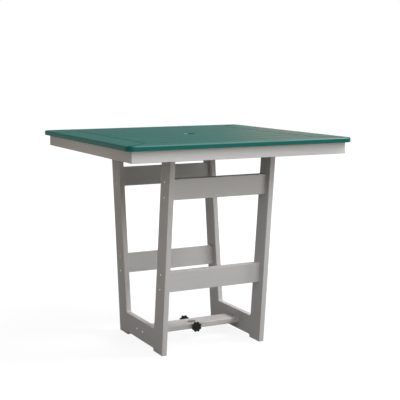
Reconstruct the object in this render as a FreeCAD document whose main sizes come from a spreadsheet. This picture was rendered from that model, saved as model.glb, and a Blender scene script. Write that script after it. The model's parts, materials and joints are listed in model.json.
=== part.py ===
import FreeCAD, Part
import math
import os
import types

import Sketcher

# Square bar table of plastic boards, in millimetres. X runs along the rails, Y from front to rear
# and Z up, with the origin on the floor below the middle of the top.

driving = {
    # top
    "topSide": 1118,
    "tableHeight": 1000,
    "topThick": 22,
    "cornerRadius": 32,
    "edgeRound": 6,
    "edgeBevel": 1.2,
    "frameWidth": 132,
    "boardCount": 7,
    "boardGap": 1.6,
    "mitreStep": 0.6,
    "boardEase": 1.5,
    "umbrellaRadius": 27.5,
    "umbrellaBevel": 4,
    # apron and the pieces under the top
    "apronInset": 26.6,
    "apronDepth": 53,
    "apronThick": 22,
    "apronEase": 2,
    "blockSide": 40,
    "blockDepth": 45,
    "blockBevel": 14,
    "cleatDepth": 50,
    "battenWidth": 89,
    "battenThick": 19,
    "battenLength": 920,
    "underEase": 2,
    # leg frames, cut from sheet
    "sheetThick": 25.4,
    "frameFace": 271,
    "legTopOuter": 357,
    "legTopInner": 266.2,
    "footOuter": 251,
    "crossInner": 165.6,
    "crossTop": 109.5,
    "notchHalf": 156,
    "notchHeight": 13.3,
    "innerRound": 8,
    "legEase": 1.5,
    # rails and stretcher
    "railWidth": 96.6,
    "upperRailY": 288.5,
    "upperRailZ": 774.5,
    "midRailY": 239.3,
    "midRailZ": 342.6,
    "railEase": 2,
    "stretcherWidth": 98,
    "stretcherBase": 47,
    "stretcherEase": 3.5,
    "poleRadius": 25.4,
    # pole clamp
    "studRadius": 3.97,
    "studLength": 42.5,
    "studInKnob": 12,
    "studSlack": 0.5,
    "runningGap": 0.05,
    "insertRadius": 6,
    "insertLength": 18,
    "knobRadius": 25,
    "knobThick": 15,
    "knobBevel": 2,
    "knobGap": 7.5,
    "hubRadius": 11,
    "hubLength": 5,
    "lobeCount": 8,
    "scallopRadius": 7,
    "scallopCentre": 28,
    # screws
    "screwRadius": 2.4,
    "screwHeadRadius": 4.8,
    "screwHeadHeight": 3,
    "railScrewLength": 64,
    "railScrewSpacing": 72,
    "stretcherScrewSpacing": 70,
    "legScrewLength": 44,
    "legScrewDrop": 25,
    "legScrewOuter": 333,
    "legScrewInner": 287,
}

doc = FreeCAD.newDocument("bar_table")
sheet = doc.addObject("Spreadsheet::Sheet", "Dims")
for row, (alias, number) in enumerate(driving.items(), 1):
    sheet.set(f"A{row}", alias)
    sheet.set(f"B{row}", str(number))
    sheet.setAlias(f"B{row}", alias)
doc.recompute()


# A measure is a number together with the sheet expression that it comes from.
class Measure:
    def __init__(self, value, text):
        self.value = value
        self.text = text

    def __add__(self, other):
        other = measure(other)
        return Measure(self.value + other.value, f"({self.text} + {other.text})")

    def __sub__(self, other):
        other = measure(other)
        return Measure(self.value - other.value, f"({self.text} - {other.text})")

    def __mul__(self, other):
        other = measure(other)
        return Measure(self.value * other.value, f"({self.text} * {other.text})")

    def __truediv__(self, other):
        other = measure(other)
        return Measure(self.value / other.value, f"({self.text} / {other.text})")

    def __neg__(self):
        return Measure(-self.value, f"(0 - {self.text})")


def measure(item):
    if isinstance(item, Measure):
        return item
    return Measure(item, str(item))


def root(item):
    return Measure(math.sqrt(item.value), f"sqrt({item.text})")


def arctan(item):
    return Measure(math.degrees(math.atan(item.value)), f"atan({item.text})")


def sine(angle):
    return Measure(math.sin(math.radians(angle.value)), f"sin({angle.text})")


def cosine(angle):
    return Measure(math.cos(math.radians(angle.value)), f"cos({angle.text})")


def bind(item, name, size):
    item.setExpression(name, measure(size).text)


s = types.SimpleNamespace(**{alias: Measure(sheet.get(alias), f"Dims.{alias}") for alias in driving})

# Sizes worked out from the driving ones
topHalf = s.topSide / 2
underside = s.tableHeight - s.topThick
infillHalf = topHalf - s.frameWidth
boardPitch = infillHalf * 2 / s.boardCount
apronOuter = topHalf - s.apronInset
apronInner = apronOuter - s.apronThick
frameInner = s.frameFace - s.sheetThick
lean = arctan((s.upperRailY - s.midRailY) / (s.upperRailZ - s.midRailZ))
stretcherHalf = s.stretcherWidth / 2
clampHeight = s.stretcherBase + s.sheetThick / 2
studBore = s.studRadius + s.runningGap
headSides = 12
shankSides = 6
closeEnough = 0.01

pieces = []


# Each piece has a name of its own and a place: a point, and a turn about X or Z.
def newBody(label, x=0, y=0, z=0, axis=(0, 0, 1), turn=0):
    body = doc.addObject("PartDesign::Body", label)
    body.Label = label
    turn = measure(turn)
    point = FreeCAD.Vector(measure(x).value, measure(y).value, measure(z).value)
    body.Placement = FreeCAD.Placement(point, FreeCAD.Rotation(FreeCAD.Vector(*axis), turn.value))
    bind(body, "Placement.Base.x", x)
    bind(body, "Placement.Base.y", y)
    bind(body, "Placement.Base.z", z)
    bind(body, "Placement.Rotation.Angle", turn)
    pieces.append(body)
    return body


def originPart(body, role):
    return next(part for part in body.Origin.OriginFeatures if part.Role == role)


def sketchOn(body, role, lift=0):
    sketch = body.newObject("Sketcher::SketchObject", "Profile")
    sketch.AttachmentSupport = [(originPart(body, role), "")]
    sketch.MapMode = "FlatFace"
    bind(sketch, "AttachmentOffset.Base.z", lift)
    return sketch


# A corner of a profile is held by its two distances from the sketch's origin.
def pin(sketch, curve, end, x, y):
    for kind, size, axis in (("DistanceX", measure(x), -2), ("DistanceY", measure(y), -1)):
        if size.value == 0:
            sketch.addConstraint(Sketcher.Constraint("PointOnObject", curve, end, axis))
        else:
            index = sketch.addConstraint(Sketcher.Constraint(kind, -1, 1, curve, end, size.value))
            bind(sketch, f"Constraints[{index}]", size)


def holdRadius(sketch, curve, radius):
    index = sketch.addConstraint(Sketcher.Constraint("Radius", curve, radius.value))
    bind(sketch, f"Constraints[{index}]", radius)


# A closed outline, counter-clockwise. A corner is (x, y), or (x, y, radius) where the stretch to
# the next corner is an arc that bulges outwards.
def outline(sketch, corners):
    points = [FreeCAD.Vector(measure(c[0]).value, measure(c[1]).value, 0) for c in corners]
    first = sketch.GeometryCount
    for i, corner in enumerate(corners):
        start = points[i]
        end = points[(i + 1) % len(points)]
        if len(corner) == 2:
            sketch.addGeometry(Part.LineSegment(start, end))
            continue
        radius = corner[2].value
        chord = end - start
        rise = math.sqrt(radius ** 2 - (chord.Length / 2) ** 2)
        left = FreeCAD.Vector(-chord.y, chord.x, 0).normalize()
        centre = (start + end) / 2 + left * rise
        circle = Part.Circle(centre, FreeCAD.Vector(0, 0, 1), radius)
        angles = [math.atan2(p.y - centre.y, p.x - centre.x) for p in (start, end)]
        sketch.addGeometry(Part.ArcOfCircle(circle, *angles))
    for i, corner in enumerate(corners):
        following = first + (i + 1) % len(corners)
        sketch.addConstraint(Sketcher.Constraint("Coincident", first + i, 2, following, 1))
        pin(sketch, first + i, 1, corner[0], corner[1])
        if len(corner) == 3:
            holdRadius(sketch, first + i, corner[2])


def rectangle(sketch, halfWidth, halfHeight):
    outline(sketch, [
        (-halfWidth, -halfHeight),
        (halfWidth, -halfHeight),
        (halfWidth, halfHeight),
        (-halfWidth, halfHeight),
    ])


def circle(sketch, x, y, radius):
    centre = FreeCAD.Vector(measure(x).value, measure(y).value, 0)
    curve = sketch.addGeometry(Part.Circle(centre, FreeCAD.Vector(0, 0, 1), radius.value))
    pin(sketch, curve, 3, x, y)
    holdRadius(sketch, curve, radius)


def pad(body, sketch, length):
    feature = body.newObject("PartDesign::Pad", "Pad")
    feature.Profile = sketch
    bind(feature, "Length", length)


# A pocket into the solid on the sketch's upper side, checked to take material away.
def pocket(body, sketch, depth):
    doc.recompute()
    before = body.Shape.Volume
    feature = body.newObject("PartDesign::Pocket", "Pocket")
    feature.Profile = sketch
    feature.Reversed = True
    bind(feature, "Length", depth)
    doc.recompute()
    if not body.Shape.Volume < before:
        raise RuntimeError(f"{body.Label}: a pocket cuts nothing")
    return feature


def revolve(body, sketch):
    feature = body.newObject("PartDesign::Revolution", "Turned")
    feature.Profile = sketch
    feature.ReferenceAxis = (sketch, ["V_Axis"])
    feature.Angle = 360


def mirrored(body, original, role):
    feature = body.newObject("PartDesign::Mirrored", "Mirrored")
    feature.Originals = [original]
    feature.MirrorPlane = (originPart(body, role), [""])
    body.Tip = feature


# Edges whose ends all lie at the given coordinates.
def lies(edge, x=None, y=None, z=None):
    for size, name in ((x, "x"), (y, "y"), (z, "z")):
        if size is None:
            continue
        if any(abs(getattr(v.Point, name) - measure(size).value) > closeEnough for v in edge.Vertexes):
            return False
    return True


def finishEdges(body, kind, chosen):
    doc.recompute()
    base = body.Tip
    names = [f"Edge{i}" for i, edge in enumerate(base.Shape.Edges, 1) if chosen(edge)]
    feature = body.newObject(kind, "Edges")
    feature.Base = (base, names)
    body.Tip = feature
    return feature


def roundEdges(body, radius, chosen):
    bind(finishEdges(body, "PartDesign::Fillet", chosen), "Radius", radius)


def bevelEdges(body, size, chosen):
    bind(finishEdges(body, "PartDesign::Chamfer", chosen), "Size", size)


def isRound(edge):
    return isinstance(edge.Curve, Part.Circle)


# Places of the rail screws on one leg of a frame, as (y, z), for the leg on the given side
def railScrewPlaces(side):
    stepY = s.railScrewSpacing / 2 * sine(lean)
    stepZ = s.railScrewSpacing / 2 * cosine(lean)
    rails = ((s.upperRailY, s.upperRailZ), (s.midRailY, s.midRailZ))
    return [((y + stepY * end) * side, z + stepZ * end) for y, z in rails for end in (-1, 1)]


def stretcherScrewPlaces():
    return [(s.stretcherScrewSpacing / 2 * end, clampHeight) for end in (-1, 1)]


def legScrewPlaces():
    height = underside - s.legScrewDrop
    return [(y * side, height) for y in (s.legScrewInner, s.legScrewOuter) for side in (-1, 1)]


# A bar along X with that many sides, from x = start on
def prism(sides, radius, start, length):
    turns = [2 * math.pi * i / sides for i in range(sides + 1)]
    ring = [FreeCAD.Vector(start, radius * math.cos(a), radius * math.sin(a)) for a in turns]
    return Part.Face(Part.makePolygon(ring)).extrude(FreeCAD.Vector(length, 0, 0))


# One screw along +X, with the underside of its head at the origin. Its thread and its drive are left
# out, and its shank is a plain bar with few sides, because there are so many screws.
def screwShape(length):
    height = s.screwHeadHeight.value
    head = prism(headSides, s.screwHeadRadius.value, -height, height)
    shank = prism(shankSides, s.screwRadius.value, 0, length.value)
    return head.fuse(shank)


# Screws through the outer faces of the leg frames, at (side, y, z): side -1 left, 1 right
def frameScrews(label, length, places):
    group = doc.addObject("Part::Feature", label)
    group.Label = label
    screws = []
    for side, y, z in places:
        shape = screwShape(length)
        if side > 0:
            shape.rotate(FreeCAD.Vector(0, 0, 0), FreeCAD.Vector(0, 0, 1), 180)
        shape.translate(FreeCAD.Vector(s.frameFace.value * side, y.value, z.value))
        screws.append(shape)
    group.Shape = Part.makeCompound(screws)
    pieces.append(group)
    return group


# A piece with the holes of its screws: the blank, less the screws that go through it
def drill(blank, label, groups):
    blank.Label = f"{label}_blank"
    pieces.remove(blank)
    tools = doc.addObject("Part::Compound", f"{label}_drills")
    tools.Links = groups
    piece = doc.addObject("Part::Cut", label)
    piece.Base = blank
    piece.Tool = tools
    piece.Label = label
    doc.recompute()
    if not piece.Shape.Volume < blank.Shape.Volume:
        raise RuntimeError(f"{label}: its screws miss it")
    pieces.append(piece)


sides = ((-1, "left"), (1, "right"))
railScrews = [
    frameScrews(f"rail_screws_{name}", s.railScrewLength,
                [(side, y, z) for leg in (-1, 1) for y, z in railScrewPlaces(leg)])
    for side, name in sides
]
stretcherScrews = frameScrews("stretcher_screws", s.railScrewLength,
                              [(side, y, z) for side, name in sides for y, z in stretcherScrewPlaces()])
legScrews = frameScrews("leg_screws", s.legScrewLength,
                        [(side, y, z) for side, name in sides for y, z in legScrewPlaces()])


# Top: four mitred boards with rounded outside corners
def topFrameBoard(label, turn):
    body = newBody(label, z=underside, turn=turn)
    cornerCentre = topHalf - s.cornerRadius
    spread = root(s.cornerRadius * s.cornerRadius * 2 - s.mitreStep * s.mitreStep)
    tipX = cornerCentre + (spread - s.mitreStep) / 2
    tipY = cornerCentre + (spread + s.mitreStep) / 2
    innerX = infillHalf - s.mitreStep
    sketch = sketchOn(body, "XY_Plane")
    outline(sketch, [
        (-tipX, -tipY, s.cornerRadius),
        (-cornerCentre, -topHalf),
        (cornerCentre, -topHalf, s.cornerRadius),
        (tipX, -tipY),
        (innerX, -infillHalf),
        (-innerX, -infillHalf),
    ])
    pad(body, sketch, s.topThick)
    outside = lambda e: isRound(e) or lies(e, y=-topHalf)
    roundEdges(body, s.edgeRound, lambda e: lies(e, z=s.topThick) and outside(e))
    bevelEdges(body, s.edgeBevel, lambda e: lies(e, z=0) and outside(e))
    roundEdges(body, s.boardEase, lambda e: lies(e, y=-infillHalf, z=s.topThick))


# Top: boards between the frame boards, the middle one with the umbrella hole
def infillBoard(label, row, holed):
    body = newBody(label, y=boardPitch * row, z=underside)
    sketch = sketchOn(body, "XY_Plane")
    rectangle(sketch, infillHalf - s.boardGap, (boardPitch - s.boardGap) / 2)
    if holed:
        circle(sketch, 0, 0, s.umbrellaRadius)
    pad(body, sketch, s.topThick)
    if holed:
        bevelEdges(body, s.umbrellaBevel, lambda e: isRound(e) and lies(e, z=s.topThick))
    roundEdges(body, s.boardEase, lambda e: lies(e, z=s.topThick) and not isRound(e))


# Apron boards, mitred at the corners
def apronBoard(label, turn):
    body = newBody(label, z=underside - s.apronDepth, turn=turn)
    sketch = sketchOn(body, "XY_Plane")
    outline(sketch, [
        (-apronOuter, -apronOuter),
        (apronOuter, -apronOuter),
        (apronInner, -apronInner),
        (-apronInner, -apronInner),
    ])
    pad(body, sketch, s.apronDepth)
    roundEdges(body, s.apronEase, lambda e: lies(e, y=-apronOuter, z=0))


# Blocks behind the apron's corners, with the corner towards the middle of the table cut off
def cornerBlock(label, turn):
    body = newBody(label, z=underside - s.blockDepth, turn=turn)
    inward = apronInner - s.blockSide
    sketch = sketchOn(body, "XY_Plane")
    outline(sketch, [
        (-apronInner, -apronInner),
        (-inward, -apronInner),
        (-inward, -inward - s.blockBevel),
        (-inward - s.blockBevel, -inward),
        (-apronInner, -inward),
    ])
    pad(body, sketch, s.blockDepth)


# Cleats on edge against the insides of the leg frames, from apron to apron
def legCleat(label, side):
    body = newBody(label, x=(frameInner - s.sheetThick / 2) * side, z=underside - s.cleatDepth)
    sketch = sketchOn(body, "XY_Plane")
    rectangle(sketch, s.sheetThick / 2, apronInner)
    pad(body, sketch, s.cleatDepth)
    roundEdges(body, s.underEase, lambda e: lies(e, x=-s.sheetThick / 2 * side, z=0))
    drill(body, label, [legScrews])


# Flat battens under the joints between the infill and the side boards
def endBatten(label, side):
    body = newBody(label, x=infillHalf * side, z=underside - s.battenThick)
    sketch = sketchOn(body, "XY_Plane")
    rectangle(sketch, s.battenWidth / 2, s.battenLength / 2)
    pad(body, sketch, s.battenThick)
    roundEdges(body, s.underEase, lambda e: lies(e, z=0))


# Leg frames: two leaning legs and a low cross-piece in one sheet, raised between the feet
def legFrame(label, x, railScrews):
    body = newBody(label, x=x)
    sketch = sketchOn(body, "YZ_Plane")
    rightHalf = [
        (s.notchHalf, 0),
        (s.footOuter, 0),
        (s.legTopOuter, underside),
        (s.legTopInner, underside),
        (s.crossInner, s.crossTop),
    ]
    leftHalf = [(-y, z) for y, z in reversed(rightHalf)]
    outline(sketch, rightHalf + leftHalf + [(-s.notchHalf, s.notchHeight), (s.notchHalf, s.notchHeight)])
    pad(body, sketch, s.sheetThick)
    insideCorners = (
        (s.crossInner, s.crossTop),
        (-s.crossInner, s.crossTop),
        (s.notchHalf, s.notchHeight),
        (-s.notchHalf, s.notchHeight),
    )
    roundEdges(body, s.innerRound, lambda e: any(lies(e, y=y, z=z) for y, z in insideCorners))
    onFace = lambda e: lies(e, x=0) or lies(e, x=s.sheetThick)
    bevelEdges(body, s.legEase, lambda e: onFace(e) and not lies(e, z=underside))
    drill(body, label, [railScrews, stretcherScrews, legScrews])


# Rails: boards between the leg frames, leaning as the legs do
def rail(label, y, z, side):
    body = newBody(label, y=y * side, z=z, axis=(1, 0, 0), turn=lean * -side)
    section = sketchOn(body, "YZ_Plane", -frameInner)
    rectangle(section, s.sheetThick / 2, s.railWidth / 2)
    pad(body, section, frameInner * 2)
    longEdge = lambda e: not lies(e, x=frameInner) and not lies(e, x=-frameInner)
    roundEdges(body, s.railEase, longEdge)
    drill(body, label, railScrews)


# Stretcher: pole hole in the middle, and a hole for an insert and its stud from each long edge to it
def stretcher():
    body = newBody("stretcher", z=s.stretcherBase)
    sketch = sketchOn(body, "XY_Plane")
    rectangle(sketch, frameInner, stretcherHalf)
    circle(sketch, 0, 0, s.poleRadius)
    pad(body, sketch, s.sheetThick)
    onRim = lambda e: lies(e, z=0) or lies(e, z=s.sheetThick)
    onSide = lambda e: lies(e, y=stretcherHalf) or lies(e, y=-stretcherHalf)
    roundEdges(body, s.stretcherEase, lambda e: onRim(e) and onSide(e))
    bevelEdges(body, s.boardEase, lambda e: onRim(e) and isRound(e) and e.Closed)
    hole = sketchOn(body, "XZ_Plane", -stretcherHalf)
    circle(hole, 0, s.sheetThick / 2, s.insertRadius)
    mirrored(body, pocket(body, hole, stretcherHalf - s.poleRadius / 2), "XZ_Plane")
    drill(body, "stretcher", [stretcherScrews])


# Clamp pieces are turned about an axis that points out of the stretcher: side -1 front, 1 rear.
def clampBody(label, out, side):
    return newBody(label, y=out * side, z=clampHeight, axis=(1, 0, 0), turn=-90 * side)


def threadInsert(label, side):
    body = clampBody(label, stretcherHalf, side)
    sketch = sketchOn(body, "XZ_Plane")
    outline(sketch, [
        (studBore, -s.insertLength),
        (s.insertRadius, -s.insertLength),
        (s.insertRadius, 0),
        (studBore, 0),
    ])
    revolve(body, sketch)


# Studs: cut off square at the tip, with the other end in the knob
def clampStud(label, side):
    body = clampBody(label, stretcherHalf + s.knobGap, side)
    tip = s.studInKnob - s.studLength
    sketch = sketchOn(body, "XZ_Plane")
    outline(sketch, [
        (0, tip),
        (s.studRadius, tip),
        (s.studRadius, s.studInKnob),
        (0, s.studInKnob),
    ])
    revolve(body, sketch)


# Star knobs: a disc with scallops between its lobes and a bevelled front, and a hub with the stud's
# socket towards the stretcher
def clampKnob(label, side):
    body = clampBody(label, stretcherHalf + s.knobGap, side)
    headTop = s.hubLength + s.knobThick
    socketEnd = s.studInKnob + s.studSlack
    rim = s.knobRadius - s.knobBevel
    profile = sketchOn(body, "XZ_Plane")
    outline(profile, [
        (studBore, 0),
        (s.hubRadius, 0),
        (s.hubRadius, s.hubLength),
        (s.knobRadius, s.hubLength),
        (s.knobRadius, headTop - s.knobBevel),
        (rim, headTop),
        (0, headTop),
        (0, socketEnd),
        (studBore, socketEnd),
    ])
    revolve(body, profile)
    scallop = sketchOn(body, "XY_Plane", s.hubLength)
    circle(scallop, 0, s.scallopCentre, s.scallopRadius)
    cut = pocket(body, scallop, s.knobThick)
    lobes = body.newObject("PartDesign::PolarPattern", "Lobes")
    lobes.Originals = [cut]
    lobes.Axis = (originPart(body, "Z_Axis"), [""])
    lobes.Angle = 360
    bind(lobes, "Occurrences", s.lobeCount)
    body.Tip = lobes


for turn, name in ((0, "front"), (90, "right"), (180, "rear"), (270, "left")):
    topFrameBoard(f"top_frame_{name}", turn)
    apronBoard(f"apron_{name}", turn)
for turn, name in ((0, "front_left"), (90, "front_right"), (180, "rear_right"), (270, "rear_left")):
    cornerBlock(f"corner_block_{name}", turn)

boardTotal = int(s.boardCount.value)
for index in range(boardTotal):
    row = index - (boardTotal - 1) // 2
    infillBoard(f"infill_board_{index + 1}", row, holed=row == 0)

for side, name in sides:
    legCleat(f"leg_cleat_{name}", side)
    endBatten(f"end_batten_{name}", side)
legFrame("leg_frame_left", -s.frameFace, railScrews[0])
legFrame("leg_frame_right", frameInner, railScrews[1])

stretcher()
for side, name in ((-1, "front"), (1, "rear")):
    rail(f"upper_rail_{name}", s.upperRailY, s.upperRailZ, side)
    rail(f"mid_rail_{name}", s.midRailY, s.midRailZ, side)
    threadInsert(f"thread_insert_{name}", side)
    clampStud(f"clamp_stud_{name}", side)
    clampKnob(f"clamp_knob_{name}", side)

doc.recompute()
failed = [item.Label for item in doc.Objects if "Invalid" in item.State or "Error" in item.State]
broken = [piece.Label for piece in pieces if piece.Shape.isNull() or not piece.Shape.isValid()]
if failed or broken:
    raise RuntimeError(f"failed {failed}, broken {broken}")

os.makedirs("parts", exist_ok=True)
for piece in pieces:
    piece.Shape.exportStep(f"parts/{piece.Label}.step")
print(len(pieces), "pieces written")
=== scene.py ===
import bmesh
import bpy
import json
import math
from mathutils import Matrix, Vector


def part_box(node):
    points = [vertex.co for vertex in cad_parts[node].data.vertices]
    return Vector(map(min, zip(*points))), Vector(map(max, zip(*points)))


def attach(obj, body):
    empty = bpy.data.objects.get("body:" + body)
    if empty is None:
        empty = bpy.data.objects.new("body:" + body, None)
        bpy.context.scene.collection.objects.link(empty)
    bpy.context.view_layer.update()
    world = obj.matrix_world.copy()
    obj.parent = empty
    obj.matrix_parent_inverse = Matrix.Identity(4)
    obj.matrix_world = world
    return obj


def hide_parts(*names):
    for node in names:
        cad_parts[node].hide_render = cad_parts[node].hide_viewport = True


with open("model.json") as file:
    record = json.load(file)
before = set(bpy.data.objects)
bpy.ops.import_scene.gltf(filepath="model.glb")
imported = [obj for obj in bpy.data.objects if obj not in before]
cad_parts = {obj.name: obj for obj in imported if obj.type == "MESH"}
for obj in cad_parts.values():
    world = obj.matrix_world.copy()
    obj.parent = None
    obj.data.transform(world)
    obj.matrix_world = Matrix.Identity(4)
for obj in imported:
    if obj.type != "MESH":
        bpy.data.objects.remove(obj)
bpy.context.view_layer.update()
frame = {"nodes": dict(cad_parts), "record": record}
nodes = frame["nodes"]
scene = bpy.context.scene
scene.view_settings.view_transform = "Standard"
mm = 0.001
fullTurn = 2 * math.pi
white = (1, 1, 1, 1)
print("frame loaded:", len(nodes), "nodes")

# camera, at the photograph's angle
view = {
    "place": (-2.052, -4.136, 1.326),
    "yaw": 26.98,
    "pitch": -5.6,
    "lens": 85.9,
    "sensor": 36,
    "shift": -0.101,
}
camera = bpy.data.objects.new("photoCamera", bpy.data.cameras.new("photoCamera"))
camera.location = view["place"]
camera.rotation_euler = (math.radians(90 + view["pitch"]), 0, math.radians(-view["yaw"]))
camera.data.sensor_width = view["sensor"]
camera.data.lens = view["lens"]
camera.data.shift_y = view["shift"]
scene.collection.objects.link(camera)
scene.camera = camera
print("camera placed")


def middle(nodeName):
    low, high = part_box(nodeName)
    return (low + high) / 2


# middle of the side of a node's box that looks along out
def sideMiddle(nodeName, out):
    low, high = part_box(nodeName)
    direction = Vector(out)
    return middle(nodeName) + direction * abs(direction.dot(high - low)) / 2


# shader nodes: a value that is a socket is linked, anything else is set
def feed(tree, node, inputs):
    for name, value in inputs.items():
        if isinstance(value, bpy.types.NodeSocket):
            tree.links.new(value, node.inputs[name])
        else:
            node.inputs[name].default_value = value


def addNode(tree, kind, inputs=None, **settings):
    node = tree.nodes.new(kind)
    for name, value in settings.items():
        setattr(node, name, value)
    feed(tree, node, inputs or {})
    return node


def calculate(tree, operation, first, second=0):
    return addNode(tree, "ShaderNodeMath", {0: first, 1: second}, operation=operation).outputs[0]


# the sum of some values, each times its share
def weigh(tree, *pairs):
    total = 0
    for value, share in pairs:
        total = calculate(tree, "ADD", calculate(tree, "MULTIPLY", value, share), total)
    return total


def spread(tree, value, low, high, toLow, toHigh):
    inputs = {"Value": value, "From Min": low, "From Max": high, "To Min": toLow, "To Max": toHigh}
    return addNode(tree, "ShaderNodeMapRange", inputs).outputs["Result"]


def separate(tree, vector):
    return addNode(tree, "ShaderNodeSeparateXYZ", {"Vector": vector}).outputs


# sockets 0, 6 and 7 are the mix node's factor and its two colours, and output 2 is its colour
def blendColours(tree, factor, first, second):
    return addNode(tree, "ShaderNodeMix", {0: factor, 6: first, 7: second}, data_type="RGBA").outputs[2]


def objectPlace(tree):
    return addNode(tree, "ShaderNodeTexCoord").outputs["Object"]


def newGroup(name, inputs, outputs):
    tree = bpy.data.node_groups.new(name, "ShaderNodeTree")
    for label, kind in inputs.items():
        tree.interface.new_socket(label, in_out="INPUT", socket_type=kind)
    for label, kind in outputs.items():
        tree.interface.new_socket(label, in_out="OUTPUT", socket_type=kind)
    return tree, addNode(tree, "NodeGroupInput").outputs, addNode(tree, "NodeGroupOutput").inputs


def useGroup(tree, group, inputs):
    return addNode(tree, "ShaderNodeGroup", inputs, node_tree=group).outputs


def newMaterial(name):
    material = bpy.data.materials.new(name)
    material.use_nodes = True
    tree = material.node_tree
    return material, tree, tree.nodes["Principled BSDF"]


# seen by the camera, or in a reflection or through glass
def seenRay(tree):
    path = addNode(tree, "ShaderNodeLightPath").outputs
    seen = calculate(tree, "MAXIMUM", path["Is Camera Ray"], path["Is Glossy Ray"])
    return calculate(tree, "MAXIMUM", seen, path["Is Transmission Ray"])


# stage: pale floor, white surroundings and soft lamps
stage = {
    "floorHalf": 14,
    "floorDrop": 0.0005,
    "floorColour": (0.18, 0.18, 0.18, 1),
    "floorGlow": (0.87, 1.02),  # beside the table, and far from it
    "glowReach": (0.9, 2.6),
    "ambient": (0.05, 0.05, 0.05, 1),
    "lampAim": (0, 0, 0.5),
}
# a lamp that isn't mirrored shows in no reflection, and one that doesn't light shows in them alone
lamps = {
    "frontRight": {"place": (2.5, -5.2, 2.3), "size": 2.8, "power": 77, "tint": (0.90, 0.97, 1)},
    "frontLow": {"place": (0.6, -4.2, 0.7), "size": 1.6, "power": 29, "tint": (1, 0.89, 0.76)},
    "frontSteep": {"place": (-1.0, -2.4, 3.1), "size": 1.6, "power": 39, "tint": (0.84, 0.91, 1)},
    "frontNear": {"place": (-0.75, -2.0, 1.65), "size": 0.8, "power": 5.4, "tint": (1, 0.94, 0.96)},
    "leftClose": {"place": (-1.4, -0.05, 1.0), "size": 0.8, "power": 2.2, "tint": (1, 0.85, 0.68)},
    "rightHigh": {"place": (3.6, -1.6, 3.4), "size": 2.0, "power": 178, "tint": (1, 0.98, 1)},
    "backRight": {
        "place": (1.9, 3.9, 2.6), "size": 2.0, "power": 82, "tint": (1, 1, 1),
        "mirrored": False,
    },
    "backLeft": {
        "place": (-3.0, 2.4, 1.9), "size": 2.0, "power": 4, "tint": (1, 0.95, 0.88),
        "mirrored": False,
    },
    "topGlare": {
        "place": (1.7, 1.5, 1.55), "size": 0.9, "power": 10.8, "tint": (1, 0.48, 0.43),
        "aim": (0.4, 0, 1), "lights": False,
    },
    "rightFill": {
        "place": (1.7, 1.5, 1.55), "size": 0.9, "power": 7.5, "tint": (1, 0.98, 0.95),
        "aim": (0.4, 0, 1), "mirrored": False,
    },
}


def makeFloor():
    bm = bmesh.new()
    bmesh.ops.create_grid(bm, x_segments=1, y_segments=1, size=stage["floorHalf"])
    bmesh.ops.translate(bm, vec=(0, 0, -stage["floorDrop"]), verts=bm.verts)
    mesh = bpy.data.meshes.new("floor")
    bm.to_mesh(mesh)
    bm.free()
    material, tree, shader = newMaterial("paleFloor")
    distance = addNode(tree, "ShaderNodeVectorMath", {0: objectPlace(tree)}, operation="LENGTH")
    glow = spread(tree, distance.outputs["Value"], *stage["glowReach"], *stage["floorGlow"])
    feed(tree, shader, {
        "Base Color": stage["floorColour"],
        "Roughness": 1,
        "Specular IOR Level": 0,
        "Emission Color": white,
        "Emission Strength": calculate(tree, "MULTIPLY", seenRay(tree), glow),
    })
    mesh.materials.append(material)
    floor = bpy.data.objects.new("floor", mesh)
    scene.collection.objects.link(floor)


def makeWorld():
    world = bpy.data.worlds.new("whiteStudio")
    world.use_nodes = True
    tree = world.node_tree
    colour = blendColours(tree, seenRay(tree), stage["ambient"], white)
    feed(tree, tree.nodes["Background"], {"Color": colour})
    scene.world = world


def addLamp(name, setting):
    lamp = bpy.data.lights.new(name, "AREA")
    lamp.energy = setting["power"]
    lamp.size = setting["size"]
    lamp.color = setting["tint"]
    holder = bpy.data.objects.new(name, lamp)
    holder.location = setting["place"]
    holder.visible_camera = False
    holder.visible_glossy = setting.get("mirrored", True)
    holder.visible_diffuse = setting.get("lights", True)
    direction = Vector(setting.get("aim", stage["lampAim"])) - Vector(setting["place"])
    holder.rotation_euler = direction.to_track_quat("-Z", "Y").to_euler()
    scene.collection.objects.link(holder)


makeFloor()
makeWorld()
for lampName, lampSetting in lamps.items():
    addLamp(lampName, lampSetting)
print("stage lit:", len(lamps), "lamps")


# shared effects
# fine lines along a board, with X of the vector along its length
grainLines = {
    "layers": (((5, 190, 190), 3), ((30, 1100, 1100), 2)),  # stretch and detail
    "roughness": 0.6,
    "streak": (0.3, 0.7),
}


def makeBoardGrain():
    tree, given, result = newGroup(
        "boardGrain",
        {"Vector": "NodeSocketVector"},
        {"Streak": "NodeSocketFloat", "Height": "NodeSocketFloat"},
    )
    layers = []
    for stretch, detail in grainLines["layers"]:
        mapped = addNode(tree, "ShaderNodeMapping", {"Vector": given["Vector"], "Scale": stretch})
        inputs = {
            "Vector": mapped.outputs[0], "Scale": 1, "Detail": detail, "Roughness": grainLines["roughness"],
        }
        layers.append(addNode(tree, "ShaderNodeTexNoise", inputs).outputs[0])
    tree.links.new(spread(tree, layers[0], *grainLines["streak"], 0, 1), result["Streak"])
    tree.links.new(calculate(tree, "ADD", *layers), result["Height"])
    return tree


# slow changes of tone, and the small dull marks that handling leaves
handlingMarks = {
    "Cloud": ({"Scale": 4, "Detail": 4, "Roughness": 0.55}, (0.3, 0.7)),
    "Scuff": ({"Scale": 38, "Detail": 5, "Roughness": 0.7, "Distortion": 0.6}, (0.6, 0.72)),
}


def makeHandling():
    outputs = {label: "NodeSocketFloat" for label in handlingMarks}
    tree, given, result = newGroup("handling", {"Vector": "NodeSocketVector"}, outputs)
    for label, (texture, shown) in handlingMarks.items():
        noise = addNode(tree, "ShaderNodeTexNoise", {"Vector": given["Vector"], **texture}).outputs[0]
        tree.links.new(spread(tree, noise, *shown, 0, 1), result[label])
    return tree


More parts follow.
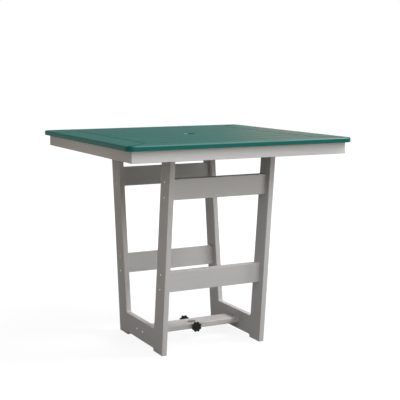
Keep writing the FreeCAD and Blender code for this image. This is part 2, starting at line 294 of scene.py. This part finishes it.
# each board of a row has a tone of its own; Y of the vector runs across the row
def makeRowTone():
    tree, given, result = newGroup(
        "rowTone",
        {"Vector": "NodeSocketVector", "Pitch": "NodeSocketFloat"},
        {"Tone": "NodeSocketFloat"},
    )
    across = separate(tree, given["Vector"])["Y"]
    row = calculate(tree, "ROUND", calculate(tree, "DIVIDE", across, given["Pitch"]))
    noise = addNode(tree, "ShaderNodeTexWhiteNoise", {"W": row}, noise_dimensions="1D")
    tree.links.new(noise.outputs["Value"], result["Tone"])
    return tree


# cut edges: masks of the edges that a cutter has rounded and of the squared sides, and its marks on both
cutting = {
    "offFace": (0.998, 0.96),  # how far a normal has to turn off the board's face
    "upward": (0.12, 0.30),
    "ripple": 0.0016,
}


def makeCutEdges():
    tree, given, result = newGroup(
        "cutEdges",
        {"Vector": "NodeSocketVector", "Face": "NodeSocketVector"},
        {"Round": "NodeSocketFloat", "Side": "NodeSocketFloat", "Marks": "NodeSocketFloat"},
    )
    normal = addNode(tree, "ShaderNodeNewGeometry").outputs["True Normal"]
    facing = addNode(tree, "ShaderNodeVectorMath", {0: normal, 1: given["Face"]}, operation="DOT_PRODUCT")
    facing = facing.outputs["Value"]
    offFace = spread(tree, calculate(tree, "ABSOLUTE", facing), *cutting["offFace"], 0, 1)
    rounded = calculate(tree, "MULTIPLY", offFace, spread(tree, facing, *cutting["upward"], 0, 1))
    parts = separate(tree, given["Vector"])
    along = calculate(tree, "ADD", parts["X"], parts["Y"])
    ripple = calculate(tree, "SINE", calculate(tree, "MULTIPLY", along, fullTurn / cutting["ripple"]))
    tree.links.new(rounded, result["Round"])
    tree.links.new(calculate(tree, "SUBTRACT", offFace, rounded), result["Side"])
    tree.links.new(calculate(tree, "MULTIPLY", ripple, offFace), result["Marks"])
    return tree


# joints of the top: painted shade and dirt darken the eased edges between the row's boards, the frame and
# its mitres
joints = {
    "rowPitch": middle("infill_board_2").y - middle("infill_board_1").y,
    "rowHalf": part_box("infill_board_7")[1].y,
    "line": (0.0020, 0.0050),
    "away": 1,  # added to a distance that doesn't count
}


def makeTopJoints():
    tree, given, result = newGroup("topJoints", {"Vector": "NodeSocketVector"}, {"Line": "NodeSocketFloat"})
    parts = separate(tree, given["Vector"])
    x = calculate(tree, "ABSOLUTE", parts["X"])
    y = calculate(tree, "ABSOLUTE", parts["Y"])
    ring = calculate(tree, "MAXIMUM", x, y)
    frameJoint = calculate(tree, "ABSOLUTE", calculate(tree, "SUBTRACT", ring, joints["rowHalf"]))
    inRow = calculate(tree, "LESS_THAN", ring, joints["rowHalf"])
    inFrame = calculate(tree, "GREATER_THAN", ring, joints["rowHalf"])
    mitre = calculate(tree, "ABSOLUTE", calculate(tree, "SUBTRACT", x, y))
    mitre = weigh(tree, (mitre, math.sqrt(0.5)), (inRow, joints["away"]))
    share = calculate(tree, "FRACT", calculate(tree, "DIVIDE", parts["Y"], joints["rowPitch"]))
    row = calculate(tree, "ABSOLUTE", calculate(tree, "SUBTRACT", share, 0.5))  # halfway between boards
    row = weigh(tree, (row, joints["rowPitch"]), (inFrame, joints["away"]))
    nearest = calculate(tree, "MINIMUM", frameJoint, calculate(tree, "MINIMUM", mitre, row))
    tree.links.new(spread(tree, nearest, *joints["line"], 1, 0), result["Line"])
    return tree


boardGrain = makeBoardGrain()
handling = makeHandling()
rowTone = makeRowTone()
cutEdges = makeCutEdges()
topJoints = makeTopJoints()

# finishes of the boards; a setting that only some of them have adds an effect to those
greenBoard = {
    "dark": (0.005, 0.094, 0.075, 1),
    "light": (0.006, 0.114, 0.092, 1),
    "rough": (0.62, 0.72),
    "edgeRough": 0.60,
    "edgeCoat": 0,
    "coatRough": 0.25,
    "bump": 0.14,
    "specular": 0.10,
}
topBoard = {
    **greenBoard,
    # the joints' dark line: painted shade of the grooves with dirt, its colour, share and dulled roughness
    "joint": (0.001, 0.022, 0.018, 1),
    "jointShadeShare": 0.75,
    "jointRough": 1.0,
}
finishes = {
    "row": topBoard,
    # the front and rear frame boards carry a painted highlight: their rounded edges are lightened towards a
    # pale tone
    "longFrame": {
        **topBoard,
        "edgeRough": 0.40,
        "edgeCoat": 1.0,
        "edgeHighlightTone": (0.070, 0.200, 0.175, 1),
        "edgeHighlightShare": 0.6,
        "straight": (0.518, 0.538),
    },
    "sideFrame": {
        **topBoard,
        "sideCoat": 0.16,
        "straight": (0.518, 0.538),
    },
    "holeRim": {
        **greenBoard,
        "edgeRough": 0.30,
        "edgeCoat": 0.35,
        "coatRough": 0.15,
        # a painted highlight: a light spot on the far left of the rounded rim, its place, reach and tone
        "rimHighlightPlace": (-0.0130, 0.0258, 0.9975),
        "rimHighlightReach": (0.008, 0.016),
        "rimHighlightTone": (0.18, 0.31, 0.275, 1),
    },
    "grey": {
        "dark": (0.528, 0.517, 0.504, 1),
        "light": (0.580, 0.569, 0.555, 1),
        "rough": (0.48, 0.60),
        "edgeRough": 0.42,
        "edgeCoat": 0.15,
        "coatRough": 0.30,
        "bump": 0.12,
        "specular": 0.30,
    },
}
boardLook = {
    "toneShares": {"streak": 0.40, "cloud": 0.35, "row": 0.25},
    "dullShares": {"scuff": 0.35, "streak": 0.65},
    "grainTurns": {"x": (0, 0, 0), "y": (0, 0, -math.pi / 2), "z": (0, math.pi / 2, 0)},
    "grainDepth": 0.0004,
    "cutterDepth": 0.00006,
}


def boardColour(tree, finish, along, lines, marks):
    tone = useGroup(tree, rowTone, {"Vector": along, "Pitch": joints["rowPitch"]})["Tone"]
    shares = boardLook["toneShares"]
    pairs = ((lines["Streak"], shares["streak"]), (marks["Cloud"], shares["cloud"]), (tone, shares["row"]))
    return blendColours(tree, weigh(tree, *pairs), finish["dark"], finish["light"])


# the cutter leaves rounded edges smoother than the face
def boardRoughness(tree, finish, lines, marks, edges):
    shares = boardLook["dullShares"]
    dull = weigh(tree, (marks["Scuff"], shares["scuff"]), (lines["Streak"], shares["streak"]))
    rough = spread(tree, dull, 0, 1, *finish["rough"])
    smoother = calculate(tree, "SUBTRACT", rough, finish["edgeRough"])
    return calculate(tree, "SUBTRACT", rough, calculate(tree, "MULTIPLY", smoother, edges["Round"]))


# 1 along the board, falling to 0 before the rounded corners at its ends
def straightPart(tree, finish, along):
    if "straight" not in finish:
        return 1
    length = calculate(tree, "ABSOLUTE", separate(tree, along)["X"])
    return spread(tree, length, *finish["straight"], 1, 0)


def boardGloss(tree, finish, edges, straight):
    gloss = weigh(tree, (edges["Round"], finish["edgeCoat"]), (edges["Side"], finish.get("sideCoat", 0)))
    return calculate(tree, "MULTIPLY", gloss, straight)


# painted highlight: the rounded edges are blended towards a pale tone along the straight part of the board
def paintEdgeHighlight(tree, finish, colour, edges, straight):
    highlit = calculate(tree, "MULTIPLY", edges["Round"], finish["edgeHighlightShare"])
    return blendColours(tree, calculate(tree, "MULTIPLY", highlit, straight), colour, finish["edgeHighlightTone"])


# painted highlight: a light spot on the hole's rim, fading out from a point
def paintRimHighlight(tree, finish, colour, place):
    away = addNode(tree, "ShaderNodeVectorMath", {0: place, 1: finish["rimHighlightPlace"]}, operation="DISTANCE")
    rimLit = spread(tree, away.outputs["Value"], *finish["rimHighlightReach"], 1, 0)
    return blendColours(tree, rimLit, colour, finish["rimHighlightTone"])


# painted shade and dirt darken the joints on the faces of the boards, and not on their squared sides
def shadeAndSoilJoints(tree, finish, colour, rough, place, edges):
    line = useGroup(tree, topJoints, {"Vector": place})["Line"]
    line = calculate(tree, "MULTIPLY", line, finish["jointShadeShare"])
    line = calculate(tree, "MULTIPLY", line, calculate(tree, "SUBTRACT", 1, edges["Side"]))
    dulled = calculate(tree, "MULTIPLY", line, calculate(tree, "SUBTRACT", finish["jointRough"], rough))
    return blendColours(tree, line, colour, finish["joint"]), calculate(tree, "ADD", rough, dulled)


def boardNormal(tree, finish, lines, edges):
    cutter = {"Height": edges["Marks"], "Strength": finish["bump"], "Distance": boardLook["cutterDepth"]}
    grain = {"Height": lines["Height"], "Strength": finish["bump"], "Distance": boardLook["grainDepth"]}
    grain["Normal"] = addNode(tree, "ShaderNodeBump", cutter).outputs[0]
    return addNode(tree, "ShaderNodeBump", grain).outputs[0]


def boardMaterial(finishName, grain, face):
    finish = finishes[finishName]
    material, tree, shader = newMaterial(f"{finishName}Board{grain.upper()}")
    place = objectPlace(tree)
    turn = {"Vector": place, "Rotation": boardLook["grainTurns"][grain]}
    along = addNode(tree, "ShaderNodeMapping", turn).outputs[0]
    lines = useGroup(tree, boardGrain, {"Vector": along})
    marks = useGroup(tree, handling, {"Vector": along})
    edges = useGroup(tree, cutEdges, {"Vector": along, "Face": face})
    straight = straightPart(tree, finish, along)
    colour = boardColour(tree, finish, along, lines, marks)
    rough = boardRoughness(tree, finish, lines, marks, edges)
    if "edgeHighlightShare" in finish:
        colour = paintEdgeHighlight(tree, finish, colour, edges, straight)
    if "rimHighlightPlace" in finish:
        colour = paintRimHighlight(tree, finish, colour, place)
    if "joint" in finish:
        colour, rough = shadeAndSoilJoints(tree, finish, colour, rough, place, edges)
    feed(tree, shader, {
        "Base Color": colour,
        "Roughness": rough,
        "Specular IOR Level": finish["specular"],
        "Coat Weight": boardGloss(tree, finish, edges, straight),
        "Coat Roughness": finish["coatRough"],
        "Normal": boardNormal(tree, finish, lines, edges),
    })
    return material


# the finish, the way its grain runs and the way its face looks
upFace = (0, 0, 1)
boards = (
    ("row", "x", upFace),
    ("longFrame", "x", upFace),
    ("sideFrame", "y", upFace),
    ("holeRim", "x", upFace),
    ("grey", "x", upFace),
    ("grey", "y", upFace),
    ("grey", "z", (-1, 0, 0)),
)
materials = {finish + grain: boardMaterial(finish, grain, face) for finish, grain, face in boards}

# the finish of each node of boards, by the start of its name: the first line that fits holds
carried = (
    ("top_frame_front", "longFramex"),
    ("top_frame_rear", "longFramex"),
    ("top_frame", "sideFramey"),
    ("infill_board", "rowx"),
    ("apron_front", "greyx"),
    ("apron_rear", "greyx"),
    ("apron", "greyy"),
    ("leg_cleat", "greyy"),
    ("end_batten", "greyy"),
    ("leg_frame", "greyz"),
    ("corner_block", "greyz"),
    ("upper_rail", "greyx"),
    ("mid_rail", "greyx"),
    ("stretcher", "greyx"),
)
for nodeName, node in nodes.items():
    match = next((finish for start, finish in carried if nodeName.startswith(start)), None)
    if match and "screws" not in nodeName:
        node.data.materials.clear()
        node.data.materials.append(materials[match])
print("boards finished")

# metal and moulded finishes, each with a fine texture of its own
fineFinishes = {
    "screwSteel": {
        "dark": (0.42, 0.42, 0.41, 1), "light": (0.62, 0.61, 0.60, 1),
        "rough": (0.30, 0.46), "grain": 900, "bump": 0.05, "metallic": 1, "specular": 0.5,
    },
    "zincStud": {
        "dark": (0.44, 0.45, 0.47, 1), "light": (0.62, 0.62, 0.63, 1),
        "rough": (0.28, 0.48), "grain": 700, "bump": 0.08, "metallic": 1, "specular": 0.5,
    },
    "brassInsert": {
        "dark": (0.52, 0.35, 0.13, 1), "light": (0.72, 0.53, 0.24, 1),
        "rough": (0.24, 0.44), "grain": 700, "bump": 0.06, "metallic": 1, "specular": 0.5,
    },
    "blackKnob": {
        "dark": (0.006, 0.006, 0.006, 1), "light": (0.014, 0.014, 0.013, 1),
        "rough": (0.36, 0.54), "grain": 1300, "bump": 0.22, "metallic": 0, "specular": 0.15,
    },
}
fineLook = {
    "texture": {"Detail": 2, "Roughness": 0.55},
    "shares": {"grain": 0.5, "scuff": 0.5},
    "dull": (0.1, 0.8),
    "depth": 0.0001,
}


def fineMaterial(name):
    finish = fineFinishes[name]
    material, tree, shader = newMaterial(name)
    place = objectPlace(tree)
    texture = {"Vector": place, "Scale": finish["grain"], **fineLook["texture"]}
    grain = addNode(tree, "ShaderNodeTexNoise", texture).outputs[0]
    scuff = useGroup(tree, handling, {"Vector": place})["Scuff"]
    shares = fineLook["shares"]
    factor = weigh(tree, (grain, shares["grain"]), (scuff, shares["scuff"]))
    bump = {"Height": grain, "Strength": finish["bump"], "Distance": fineLook["depth"]}
    feed(tree, shader, {
        "Base Color": blendColours(tree, factor, finish["dark"], finish["light"]),
        "Roughness": spread(tree, factor, *fineLook["dull"], *finish["rough"]),
        "Metallic": finish["metallic"],
        "Specular IOR Level": finish["specular"],
        "Normal": addNode(tree, "ShaderNodeBump", bump).outputs[0],
    })
    return material


materials.update({name: fineMaterial(name) for name in fineFinishes})

# how meshes are made and finished
meshing = {"sharpAngle": 38, "cutTolerance": 1e-7, "weldDistance": 1e-6}


# a finished bmesh becomes a piece at the origin, with its place in its mesh
def finishPiece(name, bm, materialName, body, replaced=()):
    bmesh.ops.recalc_face_normals(bm, faces=bm.faces)
    mesh = bpy.data.meshes.new(name)
    bm.to_mesh(mesh)
    bm.free()
    mesh.shade_smooth()
    mesh.set_sharp_from_angle(angle=math.radians(meshing["sharpAngle"]))
    mesh.materials.append(materials[materialName])
    piece = bpy.data.objects.new(name, mesh)
    scene.collection.objects.link(piece)
    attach(piece, body)
    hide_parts(*replaced)


# where a form made along Z goes: its foot at the point, its Z along out
def placing(point, out):
    return Matrix.Translation(point) @ Vector(out).to_track_quat("Z", "Y").to_matrix().to_4x4()


# edges between the given vertices, in the same order on each run
def edgesWithin(verts):
    inside = set(verts)
    around = dict.fromkeys(edge for v in verts for edge in v.link_edges)
    return [edge for edge in around if inside.issuperset(edge.verts)]


# a turned form, ring by ring: each ring is (radius, height) or (radius, height, outline), where the
# outline gives the radius at an angle; the first ring is capped and the last drawn to a point
def turnRings(bm, rings, sides):
    verts = bmesh.ops.create_circle(bm, segments=sides, radius=1)["verts"]
    first = edgesWithin(verts)
    for index, (ringRadius, height, *outlines) in enumerate(rings):
        if index:
            made = bmesh.ops.extrude_edge_only(bm, edges=edgesWithin(verts))["geom"]
            verts = [item for item in made if isinstance(item, bmesh.types.BMVert)]
        for v in verts:
            angle = math.atan2(v.co.y, v.co.x)
            radius = outlines[0](angle, ringRadius) if outlines else ringRadius
            v.co = (radius * mm * math.cos(angle), radius * mm * math.sin(angle), height * mm)
    bmesh.ops.edgeloop_fill(bm, edges=first)
    bmesh.ops.pointmerge(bm, verts=verts, merge_co=(0, 0, rings[-1][1] * mm))


# a closed profile in the XZ plane, spun once about Z
def spinClosed(bm, profile, steps):
    bmesh.ops.spin(
        bm, geom=profile, cent=(0, 0, 0), axis=(0, 0, 1), angle=fullTurn, steps=steps, use_merge=True,
    )


# umbrella hole: its bevelled rim is rounded over, as the outer edges of the top are
holeRim = {"board": "infill_board_4", "mount": "umbrella_hole", "round": 4, "arcSteps": 10, "steps": 128}


def makeHoleRim():
    mount = next(item for item in frame["record"]["mounts"] if item["name"] == holeRim["mount"])
    bore = mount["dims"]["r_mm"] * mm
    radius = holeRim["round"] * mm
    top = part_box(holeRim["board"])[1].z
    centre = (bore + radius, 0, top - radius)
    bm = bmesh.new()
    start = bm.verts.new((bore, 0, top - radius))
    arc = bmesh.ops.spin(
        bm, geom=[start], cent=centre, axis=(0, 1, 0), angle=fullTurn / 4, steps=holeRim["arcSteps"],
    )
    end = next(item for item in arc["geom_last"] if isinstance(item, bmesh.types.BMVert))
    inside = bm.verts.new(centre)
    bm.edges.new((end, inside))
    bm.edges.new((inside, start))
    spinClosed(bm, bm.verts[:] + bm.edges[:], holeRim["steps"])
    finishPiece("umbrella_hole_rim", bm, "holeRimx", "table")


makeHoleRim()
print("umbrella hole rounded")

# star knobs: hub behind, lobed grip with rounded edges and a mould line, dished front with a gate mark;
# rings are a radius and a height above the hub's foot, and those of the grip start from its own radius
knob = {
    "lobes": 8,
    "radius": 25,
    "scallopRadius": 7,
    "scallopCentre": 28,
    "soften": 1.8,
    "sides": 192,
    "hub": (
        (4.1, 3.0), (4.1, 0.5), (4.6, 0), (10.0, 0), (10.7, 0.3), (11.0, 1.0), (11.0, 4.2), (11.4, 4.8),
        (12.2, 5.0),
    ),
    "grip": (
        (-3.0, 5.0), (-1.4, 5.3), (-0.4, 6.2), (0, 7.6), (0, 12.3), (0.12, 12.5), (0, 12.7), (0, 16.4),
        (-0.5, 18.1), (-1.5, 19.2), (-3.0, 19.8), (-5.0, 20.0),
    ),
    "front": (
        (13.2, 19.8), (12.0, 19.5), (11.2, 18.8), (10.4, 18.4), (8.0, 18.3), (4.6, 18.4), (4.2, 18.6),
        (3.2, 18.7), (1.0, 18.7),
    ),
}


# the rim between two scallops, with a soft corner where it meets them
def knobOutline(angle, radius):
    step = fullTurn / knob["lobes"]
    off = (angle - math.pi / 2 + step / 2) % step - step / 2
    reach = knob["scallopRadius"] ** 2 - (knob["scallopCentre"] * math.sin(off)) ** 2
    hollow = knob["scallopCentre"] * math.cos(off) - math.sqrt(max(reach, 0))
    soften = knob["soften"]
    share = min(max(0.5 + 0.5 * (hollow - knob["radius"]) / soften, 0), 1)
    rim = hollow + (knob["radius"] - hollow) * share - soften * share * (1 - share)
    return rim - (knob["radius"] - radius)


def makeKnob(side, out):
    grip = [(knob["radius"] + offset, height, knobOutline) for offset, height in knob["grip"]]
    bm = bmesh.new()
    turnRings(bm, [*knob["hub"], *grip, *knob["front"]], knob["sides"])
    foot = sideMiddle(f"clamp_knob_{side}", -out)
    bmesh.ops.transform(bm, matrix=placing(foot, out), verts=bm.verts)
    finishPiece(f"star_knob_{side}", bm, "blackKnob", f"{side}_knob", [f"clamp_knob_{side}"])


# clamp studs: a real thread, cut off square with a bevelled tip; the thread's points are shares of its
# depth and of its pitch
stud = {
    "radius": 3.97,
    "root": 3.36,
    "pitch": 25.4 / 18,
    "thread": ((0, 0), (0, 0.12), (1, 0.44), (1, 0.56), (0, 0.88), (0, 1)),
    "length": 42.5,
    "spareTurns": 2,
    "steps": 28,
    "tipBevel": 1.2,
    "tipInset": 0.3,
}


def cutAcross(bm, height, clearAbove):
    everything = bm.verts[:] + bm.edges[:] + bm.faces[:]
    bmesh.ops.bisect_plane(
        bm, geom=everything, plane_co=(0, 0, height), plane_no=(0, 0, 1),
        clear_outer=clearAbove, clear_inner=not clearAbove,
    )
    onCut = {v for v in bm.verts if abs(v.co.z - height) < meshing["cutTolerance"]}
    rim = [edge for edge in bm.edges if edge.is_boundary and onCut.issuperset(edge.verts)]
    bmesh.ops.edgeloop_fill(bm, edges=rim)


# the tip's bevel takes the thread down with it
def bevelTip(bm, bottom):
    for v in bm.verts:
        height = v.co.z - bottom
        allowed = (stud["root"] - stud["tipInset"]) * mm + height
        radius = v.co.xy.length
        if height < stud["tipBevel"] * mm and radius > allowed:
            v.co.xy *= allowed / radius


def makeStud(side, out):
    pitch = stud["pitch"] * mm
    length = stud["length"] * mm
    depth = stud["radius"] - stud["root"]
    turns = math.ceil(length / pitch) + stud["spareTurns"]
    bm = bmesh.new()
    shape = [((stud["root"] + depth * up) * mm, pitch * along) for up, along in stud["thread"]]
    verts = [bm.verts.new((radius, 0, height)) for radius, height in shape]
    edges = [bm.edges.new(pair) for pair in zip(verts, verts[1:])]
    bmesh.ops.spin(
        bm, geom=verts + edges, cent=(0, 0, 0), axis=(0, 0, 1), dvec=(0, 0, pitch / stud["steps"]),
        angle=fullTurn * turns, steps=stud["steps"] * turns,
    )
    bmesh.ops.remove_doubles(bm, verts=bm.verts, dist=meshing["weldDistance"])
    cutAcross(bm, pitch, False)
    cutAcross(bm, pitch + length, True)
    bevelTip(bm, pitch)
    bmesh.ops.translate(bm, vec=(0, 0, -pitch), verts=bm.verts)
    foot = sideMiddle(f"clamp_stud_{side}", -out)
    bmesh.ops.transform(bm, matrix=placing(foot, out), verts=bm.verts)
    finishPiece(f"threaded_stud_{side}", bm, "zincStud", f"{side}_stud", [f"clamp_stud_{side}"])


# threaded inserts: brass sleeves flush with the stretcher's edges, eased at both rims
insert = {"bore": 4.02, "radius": 6, "length": 18, "ease": 0.4, "steps": 56}


def makeInsert(side, out):
    bore, radius, length, ease = (insert[key] for key in ("bore", "radius", "length", "ease"))
    shape = (
        (bore, -length + ease), (bore + ease, -length), (radius - ease, -length), (radius, -length + ease),
        (radius, -ease), (radius - ease, 0), (bore + ease, 0), (bore, -ease),
    )
    bm = bmesh.new()
    verts = [bm.verts.new((r * mm, 0, height * mm)) for r, height in shape]
    edges = [bm.edges.new(pair) for pair in zip(verts, verts[1:] + verts[:1])]
    spinClosed(bm, verts + edges, insert["steps"])
    face = sideMiddle(f"thread_insert_{side}", out)
    bmesh.ops.transform(bm, matrix=placing(face, out), verts=bm.verts)
    finishPiece(f"brass_insert_{side}", bm, "brassInsert", "table", [f"thread_insert_{side}"])


for side, out in (("front", Vector((0, -1, 0))), ("rear", Vector((0, 1, 0)))):
    makeKnob(side, out)
    makeStud(side, out)
    makeInsert(side, out)
print("pole clamp made")

# pan head screws with a six-lobed drive; rings are a radius and a height above the face
screw = {
    "shank": 2.4,
    "point": (0.3, 6),  # radius of the tip, and length of the taper
    "head": ((4.8, 0), (4.8, 0.8), (4.6, 1.5), (4.0, 2.2), (3.1, 2.75), (2.5, 3.0)),
    "drive": ((2.15, 2.9), (2.05, 2.6), (1.9, 1.3)),
    "driveFloor": (0.5, 1.0),
    "driveLobes": 6,
    "driveDepth": 0.14,
    "sides": 36,
}


def driveOutline(angle, radius):
    return radius * (1 + screw["driveDepth"] * math.cos(screw["driveLobes"] * angle))


def screwMesh(length):
    tip, taper = screw["point"]
    shank = [(tip, -length), (screw["shank"], taper - length), (screw["shank"], 0)]
    drive = [(radius, height, driveOutline) for radius, height in screw["drive"]]
    bm = bmesh.new()
    turnRings(bm, [*shank, *screw["head"], *drive, screw["driveFloor"]], screw["sides"])
    mesh = bpy.data.meshes.new("screwShape")
    bm.to_mesh(mesh)
    bm.free()
    return mesh


# one piece for a set of screws; places holds the point under each head and the way the head looks
def makeScrews(name, length, places, replaced=()):
    shape = screwMesh(length)
    bm = bmesh.new()
    for point, out in places:
        before = len(bm.verts)
        bm.from_mesh(shape)
        bm.verts.ensure_lookup_table()
        bmesh.ops.transform(bm, matrix=placing(point, out), verts=bm.verts[before:])
    bpy.data.meshes.remove(shape)
    finishPiece(name, bm, "screwSteel", "table", replaced)
    print("screws made:", name, len(places))


# screws through the leg frames, in line with the rails, the stretcher and the cleats
frameScrews = {
    "railLength": 64,
    "railSpacing": 72,
    "stretcherSpacing": 70,
    "legLength": 44,
    "legY": (287, 333),
    "legDrop": 25,
}


def railScrewPlaces(face, out):
    places = []
    for end in ("front", "rear"):
        upper = middle(f"upper_rail_{end}")
        lower = middle(f"mid_rail_{end}")
        up = (upper - lower).normalized() * frameScrews["railSpacing"] * mm / 2
        for centre in (upper, lower):
            places += [(Vector((face, *(centre + up * way).yz)), out) for way in (-1, 1)]
    return places


stretcherZ = middle("stretcher").z
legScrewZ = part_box("leg_frame_left")[1].z - frameScrews["legDrop"] * mm
outerFaces = {
    "left": (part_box("leg_frame_left")[0].x, (-1, 0, 0)),
    "right": (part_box("leg_frame_right")[1].x, (1, 0, 0)),
}
stretcherPlaces = []
legPlaces = []
for side, (face, out) in outerFaces.items():
    places = railScrewPlaces(face, out)
    makeScrews(f"rail_pan_screws_{side}", frameScrews["railLength"], places, [f"rail_screws_{side}"])
    for way in (-1, 1):
        stretcherY = frameScrews["stretcherSpacing"] * mm / 2 * way
        stretcherPlaces.append(((face, stretcherY, stretcherZ), out))
        legPlaces += [((face, legY * mm * way, legScrewZ), out) for legY in frameScrews["legY"]]
makeScrews("stretcher_pan_screws", frameScrews["railLength"], stretcherPlaces, ["stretcher_screws"])
makeScrews("leg_pan_screws", frameScrews["legLength"], legPlaces, ["leg_screws"])

# screws under the top, all driven from below or from inside; those of a corner block stand at shares of
# its depth, and the ones into its second side are raised by blockRise, so that they pass the others
hidden = {
    "battenLength": 34,
    "battenOff": 21,
    "cleatLength": 64,
    "blockLength": 52,
    "blockFlat": 13,
    "blockShares": (0.2, 0.62),
    "blockRise": 0.2,
}
down = (0, 0, -1)
rowsY = [middle(nodeName).y for nodeName in sorted(nodes) if nodeName.startswith("infill_board")]
frameRowsY = [middle("top_frame_front").y, *rowsY, middle("top_frame_rear").y]
battenPlaces = []
cleatPlaces = []
for side in ("left", "right"):
    batten = sideMiddle(f"end_batten_{side}", down)
    cleat = sideMiddle(f"leg_cleat_{side}", down)
    offsets = [hidden["battenOff"] * mm * way for way in (-1, 1)]
    battenPlaces += [((batten.x + offset, y, batten.z), down) for y in rowsY for offset in offsets]
    cleatPlaces += [((cleat.x, y, cleat.z), down) for y in frameRowsY]


def blockScrewPlaces(corner):
    low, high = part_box(f"corner_block_{corner}")
    sideX = math.copysign(1, low.x)
    sideY = math.copysign(1, low.y)
    innerX, outerX = sorted((low.x, high.x), key=abs)
    innerY, outerY = sorted((low.y, high.y), key=abs)
    flat = hidden["blockFlat"] * mm
    depth = high.z - low.z
    places = []
    for share in hidden["blockShares"]:
        z = low.z + depth * share
        places.append(((innerX, outerY - flat * sideY, z), (-sideX, 0, 0)))
        z += depth * hidden["blockRise"]
        places.append(((outerX - flat * sideX, innerY, z), (0, -sideY, 0)))
    return places


corners = ("front_left", "front_right", "rear_right", "rear_left")
blockPlaces = [place for corner in corners for place in blockScrewPlaces(corner)]
makeScrews("batten_screws", hidden["battenLength"], battenPlaces)
makeScrews("cleat_screws", hidden["cleatLength"], cleatPlaces)
makeScrews("corner_block_screws", hidden["blockLength"], blockPlaces)
